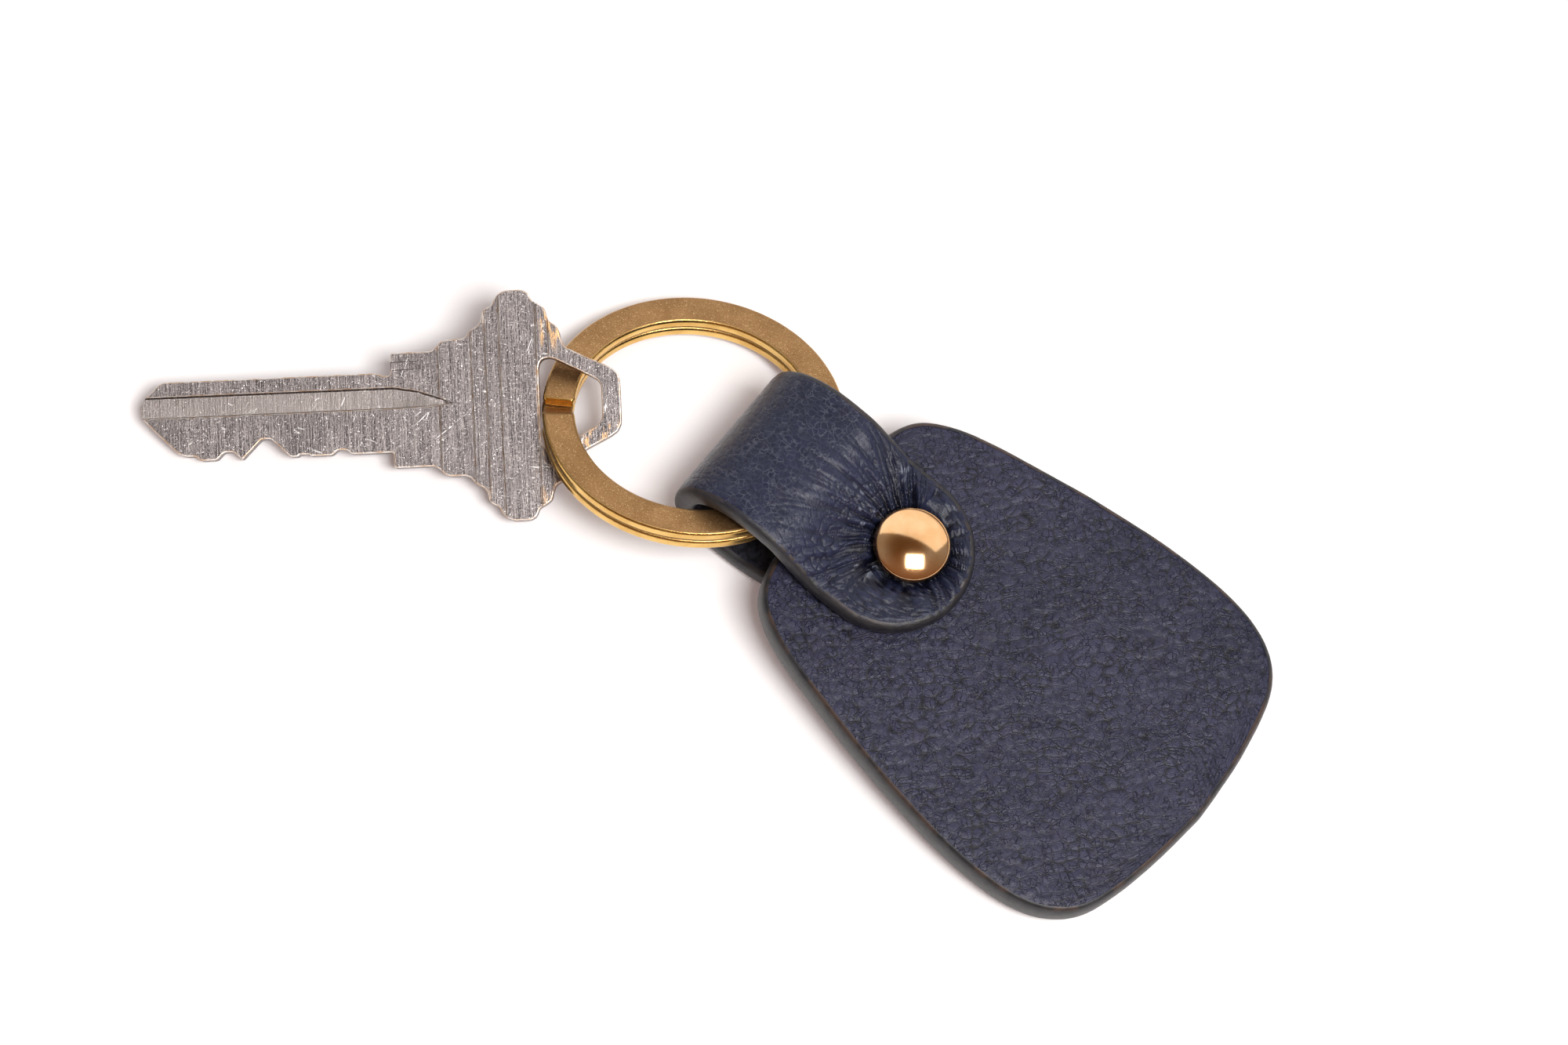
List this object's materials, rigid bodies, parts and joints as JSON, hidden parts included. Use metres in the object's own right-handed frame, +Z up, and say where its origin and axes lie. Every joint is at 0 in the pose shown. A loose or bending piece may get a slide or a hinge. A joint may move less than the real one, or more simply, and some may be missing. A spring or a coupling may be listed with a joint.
{
  "type": "keychain",
  "caption": "Leather key fob with a folded, riveted strap through a flat split ring, carrying one cut house key.",
  "frame": {"origin": "centre of the object's box, on the table it lies on", "axes": "+X from the key's tip towards the fob, the object's longest extent; +Y away from the viewer; +Z up off the table, the object's shortest extent"},
  "size_m": [0.1191, 0.0682, 0.0146],
  "materials": {
    "navy_leather": "matte pebbled grain",
    "navy_lining": "matte",
    "leather_board": "matte",
    "edge_paint": "satin paint",
    "rose_gold": "polished",
    "antique_brass": "fine blasted",
    "nickel_silver": "milled and worn"
  },
  "bodies": {
    "fob": {"fob_front_leather": "navy_leather", "fob_core_board": "leather_board", "fob_back_leather": "navy_leather", "fob_edge_paint": "edge_paint", "rivet_front_cap": "rose_gold", "rivet_socket": "rose_gold", "rivet_post": "rose_gold", "rivet_back_cap": "rose_gold"},
    "strap": {"strap_outer_leather": "navy_leather", "strap_lining_leather": "navy_lining", "strap_edge_paint": "edge_paint"},
    "ring": {"split_ring": "antique_brass"},
    "key": {"key": "nickel_silver"}
  },
  "joints": [
    {"name": "strap_swivel", "type": "hinge", "parent": "fob", "child": "strap", "pos_m": [0.02045, 0.00364, 0.00362], "axis": [0.069, -0.0569, 0.996], "range_deg": [-10, 5]},
    {"name": "ring_swing", "type": "hinge", "parent": "strap", "child": "ring", "pos_m": [0.00782, 0.01162, 0.00736], "axis": [0.6089, 0.7933, 0.0031], "range_deg": [-15, 85]},
    {"name": "key_round_ring", "type": "hinge", "parent": "ring", "child": "key", "pos_m": [-0.00149, 0.01843, 0.00572], "axis": [0.0222, 0.2815, 0.9593], "range_deg": [-110, 60]}
  ]
}
